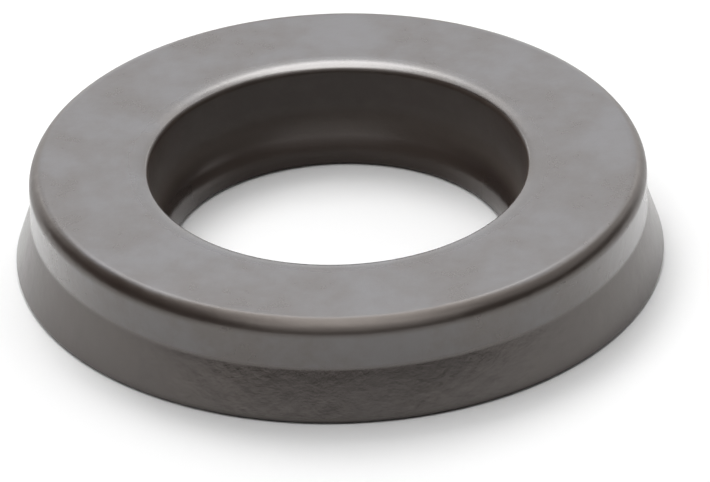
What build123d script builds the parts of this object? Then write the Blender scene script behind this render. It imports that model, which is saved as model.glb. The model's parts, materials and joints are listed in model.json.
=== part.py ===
from build123d import *
from math import radians, tan
import os

# Oil seal of the U-cup kind: one ring of moulded rubber that seals the gap between a sliding rod
# and the housing round it. A solid heel carries two lips, an outer one that flares out against
# the housing and an inner one that flares in against the rod, with a groove between them for the
# oil under pressure.
#
# Millimetres. +Z runs along the seal's axis, from the lips up to the flat face of the heel. The
# origin is the centre of the plane that the two lips stand on.

# What the seal fits between
ROD_D = 15.0
HOUSING_D = 25.0

# Heel, the solid upper half
HEEL_CLEARANCE = 0.1  # radial room between the heel and the rod, and the heel and the housing
HEEL_WALL_H = 2.0  # upright outside wall, from the flat face down to the outer lip's root
HEEL_EDGE_R = 0.65  # rounding between the flat face and the walls

# Lips, the flaring lower half
OUTER_LIP_H = 2.2  # from its root down to the plane that both lips stand on
INNER_LIP_H = 1.7  # the same for the inner lip, which is shorter and flares more sharply
OUTER_LIP_SQUEEZE = 0.56  # how far the free outer lip stands past the housing's wall
INNER_LIP_SQUEEZE = 0.7  # how far the free inner lip stands past the rod's surface
LIP_TRIM = 0.13  # trimmed corner under the edge that seals, on both lips
INNER_LAND_H = 0.72  # upright band that seals on the rod, between the inner flare and its corner
INNER_ROOT_R = 1.2  # the bore's wall runs into the inner flare in this wide curve

# Pressure groove, open downwards between the lips
GROOVE_DEPTH = 2.2
GROOVE_ROOT_R = 0.45
GROOVE_WALL_ANGLE = 30.0  # between each wall and the upright, so that the lips taper downwards

height = OUTER_LIP_H + HEEL_WALL_H
heel_bore_r = ROD_D / 2 + HEEL_CLEARANCE
heel_r = HOUSING_D / 2 - HEEL_CLEARANCE
inner_lip_r = ROD_D / 2 - INNER_LIP_SQUEEZE
outer_lip_r = HOUSING_D / 2 + OUTER_LIP_SQUEEZE
inner_land_top = LIP_TRIM + INNER_LAND_H
groove_mid_r = (heel_bore_r + heel_r) / 2

inner_root = (heel_bore_r, INNER_LIP_H)

with BuildPart() as oil_seal:
    with BuildSketch(Plane.XZ) as section:
        # The ring before its groove: the heel, then each lip's flare and trimmed corner
        with BuildLine():
            Polyline(
                (heel_bore_r, height),
                inner_root,
                (inner_lip_r, inner_land_top),
                (inner_lip_r, LIP_TRIM),
                (inner_lip_r + LIP_TRIM, 0),
                (outer_lip_r - LIP_TRIM, 0),
                (outer_lip_r, LIP_TRIM),
                (heel_r, OUTER_LIP_H),
                (heel_r, height),
                close=True,
            )
        make_face()
        fillet(section.vertices().group_by(Axis.Y)[-1], radius=HEEL_EDGE_R)
        fillet(section.vertices().sort_by_distance(inner_root)[0], radius=INNER_ROOT_R)

        # The groove: a rounded root and the two slanting walls that run out of it
        with BuildLine():
            root_centre = (groove_mid_r, GROOVE_DEPTH - GROOVE_ROOT_R)
            root = CenterArc(
                root_centre, GROOVE_ROOT_R, GROOVE_WALL_ANGLE, 180 - 2 * GROOVE_WALL_ANGLE
            )
            wall_foot = root @ 0
            half_mouth = wall_foot.X - groove_mid_r + wall_foot.Y * tan(radians(GROOVE_WALL_ANGLE))
            Polyline(
                root @ 0,
                (groove_mid_r + half_mouth, 0),
                (groove_mid_r - half_mouth, 0),
                root @ 1,
            )
        make_face(mode=Mode.SUBTRACT)
    revolve(axis=Axis.Z)

oil_seal.part.label = "oil_seal"

os.makedirs("parts", exist_ok=True)
export_step(oil_seal.part, "parts/oil_seal.step")
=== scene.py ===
"""Dresses a moulded rubber U-cup oil seal and sets the pale studio that it is shown in."""

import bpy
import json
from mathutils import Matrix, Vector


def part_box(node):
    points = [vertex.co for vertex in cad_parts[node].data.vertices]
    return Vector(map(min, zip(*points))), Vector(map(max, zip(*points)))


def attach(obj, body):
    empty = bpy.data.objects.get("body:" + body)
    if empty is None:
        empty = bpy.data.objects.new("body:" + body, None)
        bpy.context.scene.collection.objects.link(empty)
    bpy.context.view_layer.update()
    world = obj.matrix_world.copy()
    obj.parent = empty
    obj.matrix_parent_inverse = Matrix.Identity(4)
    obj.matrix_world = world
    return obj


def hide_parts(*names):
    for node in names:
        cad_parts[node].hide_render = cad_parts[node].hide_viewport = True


bl_info = {
    "name": "Oil Seal",
    "version": (1, 0, 0),
    "blender": (4, 5, 0),
    "location": "3D View > Sidebar > Oil Seal",
    "description": "Builds a moulded rubber U-cup oil seal on a pale studio floor",
    "category": "Object",
}

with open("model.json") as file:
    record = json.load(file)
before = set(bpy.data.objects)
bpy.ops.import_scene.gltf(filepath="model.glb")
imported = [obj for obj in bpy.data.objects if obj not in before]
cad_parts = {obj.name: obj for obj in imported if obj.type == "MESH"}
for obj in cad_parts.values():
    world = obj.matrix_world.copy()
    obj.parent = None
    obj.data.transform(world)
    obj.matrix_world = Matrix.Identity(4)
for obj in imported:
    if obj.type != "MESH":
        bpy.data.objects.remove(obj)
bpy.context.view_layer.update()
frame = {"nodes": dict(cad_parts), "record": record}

import json
from math import cos, pi, radians, sin, tan

import bpy
from bpy.props import FloatProperty, FloatVectorProperty, IntProperty, PointerProperty
from bpy.types import Operator, Panel, PropertyGroup
from mathutils import Vector

NODE = "oil_seal"
MM = 0.001


# ---------------------------------------------------------------------------------------------
# Sizes that the frame gives
# ---------------------------------------------------------------------------------------------

mounts = {mount["name"]: mount for mount in frame["record"]["mounts"]}


def wall_of(mount_name):
    """Radius, foot and top of the upright wall that a round mount stands for, in metres."""
    mount = mounts[mount_name]
    half_length = mount["dims"]["length_mm"] * MM / 2
    middle = mount["pos_m"][2]
    return mount["dims"]["r_mm"] * MM, middle - half_length, middle + half_length


heel_r, outer_root_z, wall_top_z = wall_of("heel_outside")
bore_r = wall_of("rod_bore")[0]
height = mounts["heel_face"]["pos_m"][2]
outer_lip_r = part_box(NODE)[1][0]
inner_lip_r = min(vertex.co.xy.length for vertex in frame["nodes"][NODE].data.vertices)


# ---------------------------------------------------------------------------------------------
# What a user can change
# ---------------------------------------------------------------------------------------------


def length(name, description, default):
    """A user's length, in metres."""
    return FloatProperty(
        name=name, description=description, default=default, unit="LENGTH", precision=6
    )


def angle(name, description, degrees):
    """A user's angle, given in degrees and held in radians."""
    return FloatProperty(
        name=name, description=description, default=radians(degrees), subtype="ANGLE"
    )


def share(name, description, default):
    """A user's number from 0 to 1."""
    return FloatProperty(name=name, description=description, default=default, min=0.0, max=1.0)


def colour(name, description, default):
    """A user's colour."""
    return FloatVectorProperty(
        name=name,
        description=description,
        default=default,
        subtype="COLOR",
        size=3,
        min=0.0,
        max=1.0,
    )


class SealSizes(PropertyGroup):
    """The section of the ring, from its rod bore to its outer lip."""

    heel_r: length("Heel Radius", "Outside of the solid heel", heel_r)
    bore_r: length("Bore Radius", "Bore of the solid heel", bore_r)
    outer_lip_r: length(
        "Outer Lip Radius", "Edge of the outer lip, where it seals on the housing", outer_lip_r
    )
    inner_lip_r: length(
        "Inner Lip Radius", "Edge of the inner lip, where it seals on the rod", inner_lip_r
    )
    height: length("Height", "From the feet of the lips to the face of the heel", height)
    outer_lip_h: length(
        "Outer Lip Height", "From the foot of the outer lip to its root", outer_root_z
    )
    inner_lip_h: length(
        "Inner Lip Height", "From the foot of the inner lip to its root", 1.85 * MM
    )
    heel_edge_r: length(
        "Heel Edge",
        "Rounding between the face of the heel and its outside wall",
        height - wall_top_z,
    )
    inner_root_r: length(
        "Inner Root", "Rounding where the bore's wall runs into the inner flare", 2.2 * MM
    )
    outer_root_r: length(
        "Outer Root", "Rounding where the outside wall runs into the outer flare", 0.8 * MM
    )
    rim_turn: angle(
        "Rim Turn", "How far the rim's wide rounding turns before its tight one takes over", 20.0
    )
    rim_edge_r: length(
        "Rim Edge", "Tight rounding between the rim's wide one and the bore", 0.25 * MM
    )
    lip_trim: length("Lip Trim", "Trimmed corner under each sealing edge", 0.13 * MM)
    lip_foot_r: length("Lip Foot", "Rounding of the inner lip's nose under its land", 0.24 * MM)
    nose_r: length("Lip Nose", "Rounding of the inner lip's nose above its land", 1.44 * MM)
    inner_land_h: length(
        "Inner Land", "Upright band on the inner lip that seals on the rod", 0.72 * MM
    )
    groove_depth: length(
        "Groove Depth", "Depth of the pressure groove between the lips", 2.2 * MM
    )
    groove_root_r: length("Groove Root", "Rounding at the root of the groove", 0.45 * MM)
    groove_slant: angle(
        "Groove Slant", "Angle between each wall of the groove and the upright", 30.0
    )
    lip_edge_r: length("Lip Edge", "Rounding of the outer lip's sealing edge", 0.16 * MM)
    soft_corner: length(
        "Soft Corner", "Rounding that the mould leaves on every other corner", 0.045 * MM
    )
    turns: IntProperty(
        name="Facets Round",
        description="Facets round the ring",
        default=288,
        min=24,
    )


class SealFinish(PropertyGroup):
    """The rubber's colour, gloss and grain."""

    rubber: colour("Rubber", "Colour of the clean rubber", (0.027, 0.018, 0.014))
    bore: colour("Bore", "Colour of the matt rubber in the bore", (0.055, 0.041, 0.034))
    # This colour paints the inner flare lighter as painted light, and also gives random flecks over
    # the bore
    dust_and_painted_light: colour(
        "Dust", "Colour that settled dust gives the inner flare", (0.082, 0.067, 0.058)
    )
    # Besides the bloom, this colour paints the flat face lighter as a painted highlight, and less
    # of it paints the outer flare darker as painted shade
    bloom_and_painted_light: colour(
        "Bloom", "Colour of the pale wax bloom that rubber sweats out", (0.084, 0.091, 0.108)
    )
    tint: colour("Tint", "Tint of what the skin reflects", (1.0, 0.92, 0.865))
    roughness: share("Roughness", "Roughness of the moulded skin", 0.3)
    rim_roughness: share("Rim Roughness", "Roughness of the rim round the rod bore", 0.24)
    worn_roughness: share(
        "Worn Roughness",
        "Roughness of the shoulder between the flat face and the outside wall",
        0.34,
    )
    bore_roughness: share("Bore Roughness", "Roughness of the matt rubber in the bore", 0.36)
    film: share("Film", "Strength of the glossy film that the mould leaves on the skin", 0.32)
    grain: length("Grain", "Height of the skin's fine grain", 0.003 * MM)


class SealStudio(PropertyGroup):
    """Camera, floor and room."""

    elevation: angle("Camera Elevation", "How far the camera looks down", 31.27)
    roll: angle("Camera Roll", "Turn of the camera about its own line of sight", -1.64)
    distance: length(
        "Camera Distance", "From the camera to the middle of the seal's face", 400.8 * MM
    )
    frame_width: length(
        "Frame Width", "What the camera sees from side to side, at the seal", 28.457 * MM
    )
    aim_right: length(
        "Aim Right", "How far to the right of the seal's middle the camera looks", 0.701 * MM
    )
    aim_up: length(
        "Aim Up", "How far above the seal's middle the camera looks", -3.166 * MM
    )
    floor: colour("Floor", "Colour of the floor", (0.93, 0.93, 0.93))
    surround: share("Surround", "Strength of the dim room round the stage", 0.03)


# ---------------------------------------------------------------------------------------------
# Node trees
# ---------------------------------------------------------------------------------------------


class Wire:
    """An output socket that takes part in arithmetic: each operator adds one Math node."""

    def __init__(self, net, socket):
        self.net = net
        self.socket = socket

    def __add__(self, other):
        return self.net.math("ADD", self, other)

    def __radd__(self, other):
        return self.net.math("ADD", other, self)

    def __sub__(self, other):
        return self.net.math("SUBTRACT", self, other)

    def __rsub__(self, other):
        return self.net.math("SUBTRACT", other, self)

    def __mul__(self, other):
        return self.net.math("MULTIPLY", self, other)

    def __rmul__(self, other):
        return self.net.math("MULTIPLY", other, self)

    def __truediv__(self, other):
        return self.net.math("DIVIDE", self, other)

    def __rtruediv__(self, other):
        return self.net.math("DIVIDE", other, self)

    def __neg__(self):
        return self.net.math("MULTIPLY", self, -1.0)


class Net:
    """One node tree. Every node but the Math nodes of an expression comes from node()."""

    def __init__(self, tree):
        self.tree = tree
        self.tree.nodes.clear()

    def node(self, kind, settings=None, sockets=None):
        """Add a node, set its settings, then fill its sockets with values or wires."""
        made = self.tree.nodes.new(kind)
        for key, value in (settings or {}).items():
            if key == "items":  # how many items an Index Switch chooses from
                while len(made.index_switch_items) < value:
                    made.index_switch_items.new()
            else:
                setattr(made, key, value)
        for key, value in (sockets or {}).items():
            self.fill(self.find(made.inputs, key), value)
        return made

    def find(self, sockets, key):
        """A socket by its identifier, or else by its name."""
        for socket in sockets:
            if socket.identifier == key:
                return socket
        return sockets[key]

    def fill(self, socket, value):
        """Give a socket its value, or link it to a wire."""
        if isinstance(value, Wire):
            self.tree.links.new(value.socket, socket)
        else:
            socket.default_value = value

    def wire(self, node, output=0):
        """One output of a node, as a wire."""
        if isinstance(output, str):
            return Wire(self, self.find(node.outputs, output))
        return Wire(self, node.outputs[output])

    def math(self, operation, *values):
        """The result of a Math node on values or wires."""
        made = self.node("ShaderNodeMath", {"operation": operation})
        for socket, value in zip(made.inputs, values):
            self.fill(socket, value)
        return self.wire(made)

    def ramp_up(self, value, low, high):
        """0 below low and 1 above high, with a smooth step between them."""
        settings = {"interpolation_type": "SMOOTHSTEP"}
        sockets = {"Value": value, "From Min": low, "From Max": high}
        return self.wire(self.node("ShaderNodeMapRange", settings, sockets))

    def mix_colour(self, factor, first, second):
        """The first colour where the factor is 0, and the second where it is 1."""
        sockets = {"Factor_Float": factor, "A_Color": rgba(first), "B_Color": rgba(second)}
        return self.wire(self.node("ShaderNodeMix", {"data_type": "RGBA"}, sockets), "Result_Color")

    def mix_shader(self, factor, first, second):
        """The first shader where the factor is 0, and the second where it is 1."""
        made = self.node("ShaderNodeMixShader", None, {"Fac": factor})
        self.fill(made.inputs[1], self.wire(first))
        self.fill(made.inputs[2], self.wire(second))
        return made

    def rubber(self, sockets):
        """One finish of the rubber."""
        return self.node("ShaderNodeBsdfPrincipled", None, sockets)

    def noise(self, place, size, detail=2.0, roughness=0.5, distortion=0.0):
        """Noise around 0.5, with features of about that size in metres."""
        sockets = {
            "Vector": place,
            "Scale": 1.0 / size,
            "Detail": detail,
            "Roughness": roughness,
            "Distortion": distortion,
        }
        return self.wire(self.node("ShaderNodeTexNoise", None, sockets))


def rgba(rgb):
    """A colour with the alpha that its socket takes."""
    return (*rgb, 1.0)


# ---------------------------------------------------------------------------------------------
# Rubber
# ---------------------------------------------------------------------------------------------


class Stretches:
    """The stretches of the ring's surface: each is 1 on its own stretch and fades to 0 round it."""

    def __init__(self, net, sizes):
        self.place = net.wire(net.node("ShaderNodeTexCoord"), "Object")
        axes = net.node("ShaderNodeSeparateXYZ", None, {"Vector": self.place})
        x, y, z = (net.wire(axes, axis) for axis in range(3))
        radius = net.math("SQRT", x * x + y * y)
        top = sizes.height

        def beyond(value, low, high):
            """How far a height or a radius is on its way from low to high, both in millimetres."""
            return net.ramp_up(value, low * MM, high * MM)

        def aside(low, high):
            """The same for the distance to either side of the middle of the seal."""
            return net.ramp_up(x * x, (low * MM) ** 2, (high * MM) ** 2)

        self.face = beyond(z - top, -0.12, -0.01)
        self.bore = 1.0 - beyond(radius - sizes.bore_r, 0.0, 0.3)
        self.flare = 1.0 - beyond(z - sizes.outer_lip_h, -0.1, 0.1)

        # The rim, from the foot of its wide rounding to the flat face; its back is polished
        wide_r = (
            sizes.heel_edge_r - sizes.rim_edge_r * (1.0 - sin(sizes.rim_turn))
        ) / sin(sizes.rim_turn)
        wide_foot = top - wide_r * (1.0 - cos(sizes.rim_turn))
        rim_r = sizes.bore_r + sizes.heel_edge_r
        self.rim = beyond(z - wide_foot, -0.07, 0.0) * (1.0 - beyond(radius - rim_r, -0.15, 0.35))
        self.polished_rim = self.rim * beyond(y, 5.0, 7.9)

        # The shoulder, which is worn further in at the front and the back than at the sides
        shoulder_in = radius - (sizes.heel_r - sizes.heel_edge_r) - aside(3.0, 8.0) * (0.17 * MM)
        above_wall = net.ramp_up(
            z, top - sizes.heel_edge_r - 0.1 * MM, top - sizes.heel_edge_r * 0.6
        )
        self.shoulder = above_wall * beyond(shoulder_in, -0.05, 0.2)

        # The polished walls at the sides, under the flat face and above the outer flare
        self.polished_sides = aside(8.5, 12.0) * (1.0 - self.face) * (1.0 - self.flare)

        # The inner lip: its nose, the sides of the nose, and the inner flare, which is painted
        # lighter as painted light
        land_top = sizes.lip_trim + sizes.inner_land_h
        self.nose = 1.0 - beyond(z - land_top, 0.2, 1.0)
        self.nose_sides = self.nose * aside(3.6, 6.6)
        self.painted_flare_light = 1.0 - beyond(z - sizes.inner_lip_h, -0.2, 1.0)


def skin_relief(net, place, grain):
    """Height of the skin: fine grain and pores, on orange peel, on a gentle swell."""
    fine = net.noise(place, 0.09 * MM, 3.0, 0.6)
    pores = net.noise(place, 0.3 * MM)
    peel = net.noise(place, 0.55 * MM)
    swell = net.noise(place, 2.4 * MM, distortion=0.4)
    return (fine + pores * 1.6 + peel * 2.5 + swell * 8.0) * grain


def moulded_rubber(sizes, finish):
    """Black rubber as it leaves the mould: satin, finely grained, with a faint wax bloom, and with
    painted light: the flat face and the inner flare painted lighter, the outer flare darker.
    """
    material = bpy.data.materials.new("Moulded Rubber")
    material.use_nodes = True
    net = Net(material.node_tree)
    on = Stretches(net, sizes)
    clouds = net.noise(on.place, 3.2 * MM, 2.0, 0.55, 0.3)
    flecks = net.noise(on.place, 0.7 * MM, 3.0, 0.6)

    # Bloom: broad clouds broken up by flecks. On top of it lies painted light: the flat face is
    # painted lighter and the outer flare darker, as light falls on them. The shoulder gets no
    # bloom.
    cloudy = net.ramp_up(clouds * 0.7 + flecks * 0.3, 0.32, 0.68)
    bloom_and_painted_light = (cloudy * 0.5 + on.face * 0.3 - 0.03) * (1.0 - on.shoulder) * (1.0 - on.flare * 0.8)
    skin_colour = net.mix_colour(bloom_and_painted_light, finish.rubber, finish.bloom_and_painted_light)

    # Gloss: a slightly uneven satin, smoother on the rim and on the flare
    uneven = (flecks - 0.5) * 0.1 + (clouds - 0.5) * 0.14
    satin = (finish.roughness + uneven) * (1.0 - on.rim)
    roughness = satin + on.rim * finish.rim_roughness - on.flare * 0.08

    # Film: thickest where the rim and the walls are polished, thinnest on the flare
    film = finish.film + on.polished_rim * 0.53 + on.polished_sides * 0.42
    film = film - on.face * (1.0 - on.rim) * 0.07 - on.flare * 0.17

    # The relief is a height in metres, which the bump takes as it is
    relief = skin_relief(net, on.place, finish.grain)
    bump = net.wire(
        net.node("ShaderNodeBump", None, {"Strength": 1.0, "Distance": 1.0, "Height": relief})
    )
    skin = net.rubber(
        {
            "Base Color": skin_colour,
            "Roughness": roughness,
            "IOR": 1.8,
            "Specular IOR Level": 0.5,
            "Specular Tint": rgba(finish.tint),
            "Coat Weight": film,
            "Coat IOR": 2.0,
            "Coat Roughness": 0.22,
            "Normal": bump,
        }
    )

    # Handling wears the film off the shoulder
    worn = net.rubber(
        {
            "Base Color": skin_colour,
            "Roughness": uneven + finish.worn_roughness,
            "IOR": 1.5,
            "Specular IOR Level": 1.0,
            "Specular Tint": rgba(finish.tint),
            "Normal": bump,
        }
    )

    # The core that forms the bore leaves it matt. The inner flare is painted lighter as painted
    # light, and random flecks of the same colour lie over the whole bore
    matt = {
        "Roughness": finish.bore_roughness,
        "IOR": 1.5,
        "Specular IOR Level": 0.25,
        "Normal": bump,
    }
    dust_and_painted_light = on.painted_flare_light + (flecks - 0.45) * 0.8
    bore_wall = net.rubber(
        {"Base Color": net.mix_colour(dust_and_painted_light, finish.bore, finish.dust_and_painted_light), **matt}
    )

    # The inner lip's nose has the bore's own colour, without the inner flare's painted light, with
    # a soft sheen, and its sides keep the skin's gloss
    nose = net.rubber(
        {"Base Color": rgba(finish.bore), "Sheen Weight": 0.6, "Sheen Roughness": 0.25, **matt}
    )
    inside = net.mix_shader(on.nose, bore_wall, nose)
    inside = net.mix_shader(on.nose_sides, inside, skin)
    outside = net.mix_shader(on.shoulder, skin, worn)
    shader = net.mix_shader(on.bore * (1.0 - on.rim), outside, inside)
    net.node("ShaderNodeOutputMaterial", None, {"Surface": net.wire(shader)})
    return material


# ---------------------------------------------------------------------------------------------
# Ring
# ---------------------------------------------------------------------------------------------


def add_object(name, data):
    """A new object, linked into the scene."""
    made = bpy.data.objects.new(name, data)
    bpy.context.scene.collection.objects.link(made)
    return made


# Each size of the section by its property, with the name that its input has in the node tree
RING_INPUTS = {
    key: prop.keywords["name"] for key, prop in SealSizes.__annotations__.items() if key != "turns"
}


def ring_tree():
    """Geometry Nodes that draw the seal's section, round its corners and turn it into a ring."""
    tree = bpy.data.node_groups.new("Oil Seal Ring", "GeometryNodeTree")
    net = Net(tree)
    tree.interface.new_socket("Geometry", in_out="OUTPUT", socket_type="NodeSocketGeometry")
    for label in RING_INPUTS.values():
        tree.interface.new_socket(label, in_out="INPUT", socket_type="NodeSocketFloat")
    tree.interface.new_socket("Facets Round", in_out="INPUT", socket_type="NodeSocketInt")
    tree.interface.new_socket("Rubber", in_out="INPUT", socket_type="NodeSocketMaterial")
    given = net.node("NodeGroupInput")
    size = {key: net.wire(given, label) for key, label in RING_INPUTS.items()}

    heel, bore, top = size["heel_r"], size["bore_r"], size["height"]
    outer, inner = size["outer_lip_r"], size["inner_lip_r"]
    edge, trim, soft = size["heel_edge_r"], size["lip_trim"], size["soft_corner"]

    # Two walls that slant to a point above the rounded root of the groove
    middle = (heel + bore) * 0.5
    root_r, slant = size["groove_root_r"], size["groove_slant"]
    point_z = size["groove_depth"] - root_r + root_r / net.math("SINE", slant)
    half_mouth = point_z * net.math("TANGENT", slant)

    # The rim: a wide rounding that turns part of the way down, then a tight one into the bore
    rim_turn, rim_edge = size["rim_turn"], size["rim_edge_r"]
    rim_sine = net.math("SINE", rim_turn)
    rim_wide = (edge - rim_edge * (1.0 - rim_sine)) / rim_sine
    rim_reach = edge - rim_wide * net.math("TANGENT", rim_turn * 0.5)

    # Radius, height, rounding and facets of each corner. A corner without a rounding stands a
    # little past its neighbour's, so that the smooth shading leaves the flat beyond it flat.
    past = 0.03 * MM
    root_reach = 0.15 * MM  # covers the outer root's rounding, which takes up 0.12 mm of the wall
    apart = 0.99  # the rim's two roundings have this much of their size, and so don't touch
    corners = [
        (inner + trim, 0.0, soft, 3),
        (inner, trim, size["lip_foot_r"], 8),
        (inner, trim + size["inner_land_h"], size["nose_r"], 12),
        (bore, size["inner_lip_h"], size["inner_root_r"], 16),
        (bore, top - edge, 0.0, 1),
        (bore, top - rim_reach * net.math("TANGENT", rim_turn), rim_edge * apart, 10),
        (bore + rim_reach, top, rim_wide * apart, 16),
        (bore + edge + past, top, 0.0, 1),
        (heel - edge - past, top, 0.0, 1),
        (heel, top, edge, 16),
        (heel, top - edge - past, 0.0, 1),
        (heel, size["outer_lip_h"] + (root_reach + past), 0.0, 1),
        (heel, size["outer_lip_h"], size["outer_root_r"], 6),
        (outer, trim, size["lip_edge_r"], 6),
        (outer - trim, 0.0, soft, 3),
        (middle + half_mouth, 0.0, soft, 3),
        (middle, point_z, root_r, 14),
        (middle - half_mouth, 0.0, soft, 3),
    ]

    # The section: a closed line through the corners, each rounded by its own radius
    count = len(corners)
    number = net.wire(net.node("GeometryNodeInputIndex"))
    places = net.node("GeometryNodeIndexSwitch", {"data_type": "VECTOR", "items": count})
    radii = net.node("GeometryNodeIndexSwitch", {"data_type": "FLOAT", "items": count})
    steps = net.node("GeometryNodeIndexSwitch", {"data_type": "INT", "items": count})
    for chooser in (places, radii, steps):
        net.fill(chooser.inputs["Index"], number)
    for index, (radius, z, rounding, facets) in enumerate(corners, start=1):
        spot = net.node("ShaderNodeCombineXYZ", None, {"X": radius - middle, "Y": -z})
        net.fill(places.inputs[index], net.wire(spot))
        net.fill(radii.inputs[index], rounding)
        net.fill(steps.inputs[index], facets)
    line = net.node("GeometryNodeCurvePrimitiveLine")
    points = net.node(
        "GeometryNodeResampleCurve", None, {"Curve": net.wire(line), "Count": count}
    )
    closed = net.node(
        "GeometryNodeSetSplineCyclic", None, {"Geometry": net.wire(points), "Cyclic": True}
    )
    placed = net.node(
        "GeometryNodeSetPosition",
        None,
        {"Geometry": net.wire(closed), "Position": net.wire(places)},
    )
    section = net.node(
        "GeometryNodeFilletCurve",
        {"mode": "POLY"},
        {
            "Curve": net.wire(placed),
            "Count": net.wire(steps),
            "Radius": net.wire(radii),
            "Limit Radius": False,
        },
    )

    # The ring: the section carried round a circle through the middle of the groove
    circle = net.node(
        "GeometryNodeCurvePrimitiveCircle",
        None,
        {"Resolution": net.wire(given, "Facets Round"), "Radius": middle},
    )
    swept = net.node(
        "GeometryNodeCurveToMesh",
        None,
        {"Curve": net.wire(circle), "Profile Curve": net.wire(section)},
    )
    smooth = net.node("GeometryNodeSetShadeSmooth", None, {"Geometry": net.wire(swept)})
    real = net.node("GeometryNodeRealizeInstances", None, {"Geometry": net.wire(smooth)})
    dressed = net.node(
        "GeometryNodeSetMaterial",
        None,
        {"Geometry": net.wire(real), "Material": net.wire(given, "Rubber")},
    )
    net.node("NodeGroupOutput", None, {"Geometry": net.wire(dressed)})
    return tree


def build_ring(sizes, material):
    """The seal as one plain mesh, made by the ring's node tree."""
    tree = ring_tree()
    carrier = add_object("seal_carrier", bpy.data.meshes.new("seal_carrier"))
    modifier = carrier.modifiers.new("Ring", "NODES")
    modifier.node_group = tree
    socket = {
        item.name: item.identifier
        for item in tree.interface.items_tree
        if item.in_out == "INPUT"
    }
    for key, label in RING_INPUTS.items():
        modifier[socket[label]] = getattr(sizes, key)
    modifier[socket["Facets Round"]] = sizes.turns
    modifier[socket["Rubber"]] = material
    graph = bpy.context.evaluated_depsgraph_get()
    mesh = bpy.data.meshes.new_from_object(carrier.evaluated_get(graph))
    bpy.data.objects.remove(carrier)
    mesh.name = "seal_ring"
    return add_object("seal_ring", mesh)


# ---------------------------------------------------------------------------------------------
# Studio
# ---------------------------------------------------------------------------------------------


def floor_material(studio):
    """Matt and nearly white, so that it shows the seal's shadow."""
    material = bpy.data.materials.new("Pale Floor")
    material.use_nodes = True
    net = Net(material.node_tree)
    matt = net.node("ShaderNodeBsdfDiffuse", None, {"Color": rgba(studio.floor)})
    net.node("ShaderNodeOutputMaterial", None, {"Surface": net.wire(matt)})
    return material


def build_floor(studio):
    """A flat square under the seal, far wider than the camera sees."""
    half = 1.0  # metres
    mesh = bpy.data.meshes.new("floor")
    corners = [(-half, -half, 0.0), (half, -half, 0.0), (half, half, 0.0), (-half, half, 0.0)]
    mesh.from_pydata(corners, [], [(0, 1, 2, 3)])
    mesh.materials.append(floor_material(studio))
    floor = add_object("floor", mesh)


def light_room(studio):
    """A dim even surround, which the camera sees as white."""
    world = bpy.data.worlds.new("Room")
    bpy.context.scene.world = world
    world.use_nodes = True
    net = Net(world.node_tree)
    rays = net.wire(net.node("ShaderNodeLightPath"), "Is Camera Ray")
    strength = rays + (1.0 - rays) * studio.surround
    ground = net.node(
        "ShaderNodeBackground", None, {"Color": rgba((1.0, 1.0, 1.0)), "Strength": strength}
    )
    net.node("ShaderNodeOutputWorld", None, {"Surface": net.wire(ground)})


# Each lamp's name, then where its middle stands and how wide and deep it looks from the seal, all
# in degrees, then its radiance and the kind of reflection that it is left out of. The azimuth
# runs from the camera's side round to the right.
LAMPS = (
    ("Back Wall", 180, 26, 68, 50, 1.25, None),
    ("Right Wing", 139, 16, 22, 30, 1.3, None),
    ("Left Wing", 221, 16, 22, 30, 1.3, None),
    ("Wide Overhead", 171, 76, 56, 72, 1.3, "diffuse"),
    ("Narrow Overhead", 178, 79, 20, 62, 2.7, "diffuse"),
    ("Right Side", 105, 42, 50, 34, 0.8, None),
    ("Front Top", 5, 60, 60, 24, 2.3, "diffuse"),
    ("Front Low", 5, 34, 60, 28, 1.1, "diffuse"),
    ("Front Fill", -16, 14, 66, 26, 0.1, None),
    ("Ceiling", 230, 74, 80, 50, 2.1, "glossy"),
    ("Key", 195, 54, 24, 24, 5.7, "glossy"),
)
LAMP_DISTANCE = 0.6  # metres


def add_softbox(name, azimuth, elevation, across, along, radiance, left_out):
    """A rectangular lamp that faces the seal, from a line of LAMPS."""
    lamp = bpy.data.lights.new(name, "AREA")
    lamp.shape = "RECTANGLE"
    lamp.size = 2.0 * LAMP_DISTANCE * tan(radians(across / 2))
    lamp.size_y = 2.0 * LAMP_DISTANCE * tan(radians(along / 2))
    lamp.energy = radiance * pi * lamp.size * lamp.size_y  # watts
    box = add_object(name, lamp)
    level = cos(radians(elevation))
    direction = Vector(
        (sin(radians(azimuth)) * level, -cos(radians(azimuth)) * level, sin(radians(elevation)))
    )
    box.location = direction * LAMP_DISTANCE
    box.rotation_euler = direction.to_track_quat("Z", "Y").to_euler()
    box.visible_camera = False
    box.visible_diffuse = left_out != "diffuse"
    box.visible_glossy = left_out != "glossy"


def add_camera(studio, middle):
    """A long lens that looks down from the front, past the middle of the seal's face."""
    lens = bpy.data.cameras.new("Camera")
    lens.sensor_width = 36.0
    lens.lens = lens.sensor_width * studio.distance / studio.frame_width
    lens.clip_start = 0.01
    lens.clip_end = 10.0
    camera = add_object("Camera", lens)
    backwards = Vector((0.0, -cos(studio.elevation), sin(studio.elevation)))
    camera.rotation_euler = backwards.to_track_quat("Z", "Y").to_euler()
    camera.rotation_euler.rotate_axis("Z", studio.roll)
    aside = Vector((studio.aim_right, studio.aim_up, 0.0))
    aside.rotate(camera.rotation_euler)
    camera.location = middle + aside + backwards * studio.distance
    bpy.context.scene.camera = camera


# ---------------------------------------------------------------------------------------------
# Operators
# ---------------------------------------------------------------------------------------------


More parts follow.
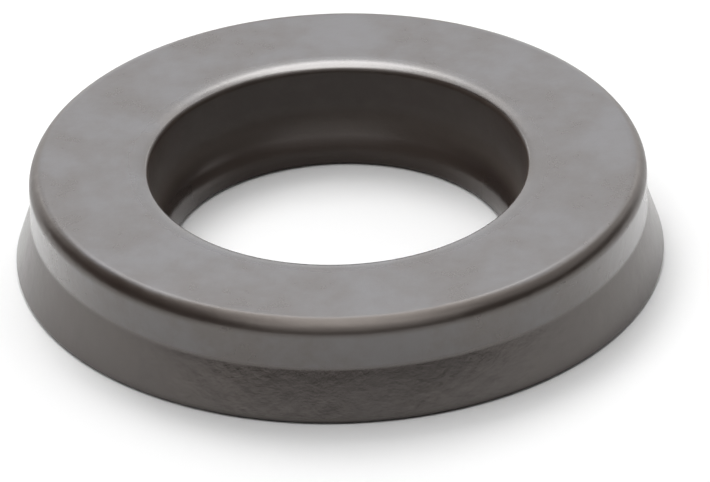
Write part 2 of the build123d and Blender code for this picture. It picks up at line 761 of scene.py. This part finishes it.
class OILSEAL_OT_ring(Operator):
    """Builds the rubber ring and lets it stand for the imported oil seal"""

    bl_idname = "oil_seal.ring"
    bl_label = "Build Seal Ring"

    def execute(self, context):
        sizes = context.scene.seal_sizes
        ring = build_ring(sizes, moulded_rubber(sizes, context.scene.seal_finish))
        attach(ring, "root")
        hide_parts(NODE)
        return {"FINISHED"}


class OILSEAL_OT_stage(Operator):
    """Sets the pale floor, the soft lamps and the camera"""

    bl_idname = "oil_seal.stage"
    bl_label = "Set Studio Stage"

    def execute(self, context):
        studio = context.scene.seal_studio
        build_floor(studio)
        light_room(studio)
        for lamp in LAMPS:
            add_softbox(*lamp)
        add_camera(studio, Vector((0.0, 0.0, context.scene.seal_sizes.height)))
        context.scene.view_settings.view_transform = "Standard"
        return {"FINISHED"}


class OILSEAL_PT_panel(Panel):
    """Shows what a user can change, and the buttons that build the seal and its stage"""

    bl_idname = "OILSEAL_PT_panel"
    bl_label = "Oil Seal"
    bl_space_type = "VIEW_3D"
    bl_region_type = "UI"
    bl_category = "Oil Seal"

    def draw(self, context):
        for group in (
            context.scene.seal_sizes,
            context.scene.seal_finish,
            context.scene.seal_studio,
        ):
            box = self.layout.box()
            for key in group.__annotations__:
                box.prop(group, key)
        self.layout.operator(OILSEAL_OT_ring.bl_idname)
        self.layout.operator(OILSEAL_OT_stage.bl_idname)


CLASSES = (
    SealSizes,
    SealFinish,
    SealStudio,
    OILSEAL_OT_ring,
    OILSEAL_OT_stage,
    OILSEAL_PT_panel,
)


def register():
    for cls in CLASSES:
        bpy.utils.register_class(cls)
    bpy.types.Scene.seal_sizes = PointerProperty(type=SealSizes)
    bpy.types.Scene.seal_finish = PointerProperty(type=SealFinish)
    bpy.types.Scene.seal_studio = PointerProperty(type=SealStudio)


def unregister():
    del bpy.types.Scene.seal_studio
    del bpy.types.Scene.seal_finish
    del bpy.types.Scene.seal_sizes
    for cls in reversed(CLASSES):
        bpy.utils.unregister_class(cls)


def main():
    register()
    bpy.ops.oil_seal.ring()
    bpy.ops.oil_seal.stage()


if __name__ == "__main__":
    main()
